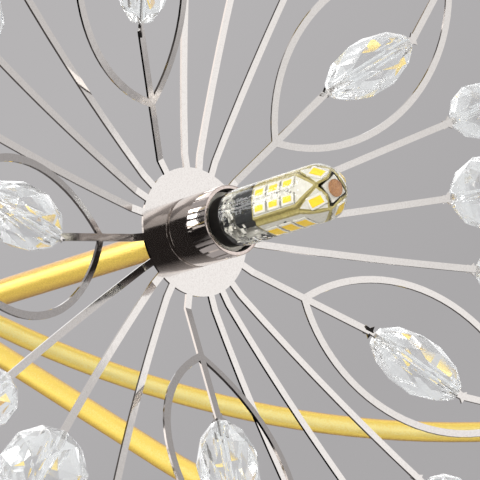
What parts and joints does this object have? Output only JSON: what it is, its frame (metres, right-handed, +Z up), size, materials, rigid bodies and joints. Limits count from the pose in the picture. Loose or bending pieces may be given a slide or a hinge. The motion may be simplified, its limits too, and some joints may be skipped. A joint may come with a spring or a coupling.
{
  "type": "crystal chandelier",
  "caption": "Hanging chandelier whose drooping gold tubes end in flowers of thin steel strips with crystal beads, each around a small plug-in LED lamp.",
  "frame": {"origin": "on the ceiling plane at the middle of the ceiling bracket and canopy", "axes": "+Z up out of the ceiling bracket's top face, along the stem; +X along the bracket, through its two slots"},
  "size_m": [0.8878, 0.8878, 0.6637],
  "materials": {
    "gold_paint": "fine metallic gold lacquer, satin",
    "polished_sheet": "thin stainless sheet, bright with a faint satin grain",
    "crystal": "clear cut crystal, polished facets",
    "lamp_silicone": "clear silicone over a white board with yellow light chips",
    "black_nickel": "black nickel plating, polished",
    "ceramic": "unglazed white ceramic",
    "zinc_steel": "zinc plated steel",
    "white_plastic": "matt moulded plastic",
    "lead_insulation": "matt insulation"
  },
  "bodies": {
    "fixture": {"ceiling_bracket": "zinc_steel", "stem_locknut": "zinc_steel", "terminal_block": "white_plastic", "stem": "gold_paint", "hub": "gold_paint", "hub_cap": "gold_paint", "arm_screws": "zinc_steel", "wiring": "lead_insulation", "lamp_cups": "black_nickel", "lamp_holders": "ceramic", "arm_1": "gold_paint", "arm_2": "gold_paint", "arm_3": "gold_paint", "arm_4": "gold_paint", "arm_5": "gold_paint", "arm_6": "gold_paint", "arm_7": "gold_paint", "arm_8": "gold_paint", "arm_9": "gold_paint", "arm_10": "gold_paint", "arm_11": "gold_paint", "arm_12": "gold_paint", "spray_1": "polished_sheet", "spray_2": "polished_sheet", "spray_3": "polished_sheet", "spray_4": "polished_sheet", "spray_5": "polished_sheet", "spray_6": "polished_sheet", "spray_7": "polished_sheet", "spray_8": "polished_sheet", "spray_9": "polished_sheet", "spray_10": "polished_sheet", "spray_11": "polished_sheet", "spray_12": "polished_sheet", "crystals_1": "crystal", "crystals_2": "crystal", "crystals_3": "crystal", "crystals_4": "crystal", "crystals_5": "crystal", "crystals_6": "crystal", "crystals_7": "crystal", "crystals_8": "crystal", "crystals_9": "crystal", "crystals_10": "crystal", "crystals_11": "crystal", "crystals_12": "crystal"},
    "canopy_cover": {"canopy": "gold_paint", "canopy_nut": "gold_paint"},
    "lamp_body_1": {"lamp_1": "lamp_silicone"},
    "lamp_body_2": {"lamp_2": "lamp_silicone"},
    "lamp_body_3": {"lamp_3": "lamp_silicone"},
    "lamp_body_4": {"lamp_4": "lamp_silicone"},
    "lamp_body_5": {"lamp_5": "lamp_silicone"},
    "lamp_body_6": {"lamp_6": "lamp_silicone"},
    "lamp_body_7": {"lamp_7": "lamp_silicone"},
    "lamp_body_8": {"lamp_8": "lamp_silicone"},
    "lamp_body_9": {"lamp_9": "lamp_silicone"},
    "lamp_body_10": {"lamp_10": "lamp_silicone"},
    "lamp_body_11": {"lamp_11": "lamp_silicone"},
    "lamp_body_12": {"lamp_12": "lamp_silicone"}
  },
  "joints": [
    {"name": "canopy_drop", "type": "slide", "parent": "fixture", "child": "canopy_cover", "axis": [0, 0, -1], "range_m": [0, 0.1]},
    {"name": "lamp_1_pull", "type": "slide", "parent": "fixture", "child": "lamp_body_1", "axis": [0.6287, -0.7493, -0.2079], "range_m": [0, 0.03]},
    {"name": "lamp_2_pull", "type": "slide", "parent": "fixture", "child": "lamp_body_2", "axis": [0.9156, -0.3333, -0.225], "range_m": [0, 0.03]},
    {"name": "lamp_3_pull", "type": "slide", "parent": "fixture", "child": "lamp_body_3", "axis": [0.9667, 0.1705, 0.1908], "range_m": [0, 0.03]},
    {"name": "lamp_4_pull", "type": "slide", "parent": "fixture", "child": "lamp_body_4", "axis": [0.7493, 0.6287, -0.2079], "range_m": [0, 0.03]},
    {"name": "lamp_5_pull", "type": "slide", "parent": "fixture", "child": "lamp_body_5", "axis": [0.3333, 0.9156, -0.225], "range_m": [0, 0.03]},
    {"name": "lamp_6_pull", "type": "slide", "parent": "fixture", "child": "lamp_body_6", "axis": [-0.1705, 0.9667, 0.1908], "range_m": [0, 0.03]},
    {"name": "lamp_7_pull", "type": "slide", "parent": "fixture", "child": "lamp_body_7", "axis": [-0.6287, 0.7493, -0.2079], "range_m": [0, 0.03]},
    {"name": "lamp_8_pull", "type": "slide", "parent": "fixture", "child": "lamp_body_8", "axis": [-0.9156, 0.3333, -0.225], "range_m": [0, 0.03]},
    {"name": "lamp_9_pull", "type": "slide", "parent": "fixture", "child": "lamp_body_9", "axis": [-0.9667, -0.1705, 0.1908], "range_m": [0, 0.03]},
    {"name": "lamp_10_pull", "type": "slide", "parent": "fixture", "child": "lamp_body_10", "axis": [-0.7493, -0.6287, -0.2079], "range_m": [0, 0.03]},
    {"name": "lamp_11_pull", "type": "slide", "parent": "fixture", "child": "lamp_body_11", "axis": [-0.3333, -0.9156, -0.225], "range_m": [0, 0.03]},
    {"name": "lamp_12_pull", "type": "slide", "parent": "fixture", "child": "lamp_body_12", "axis": [0.1705, -0.9667, 0.1908], "range_m": [0, 0.03]}
  ]
}
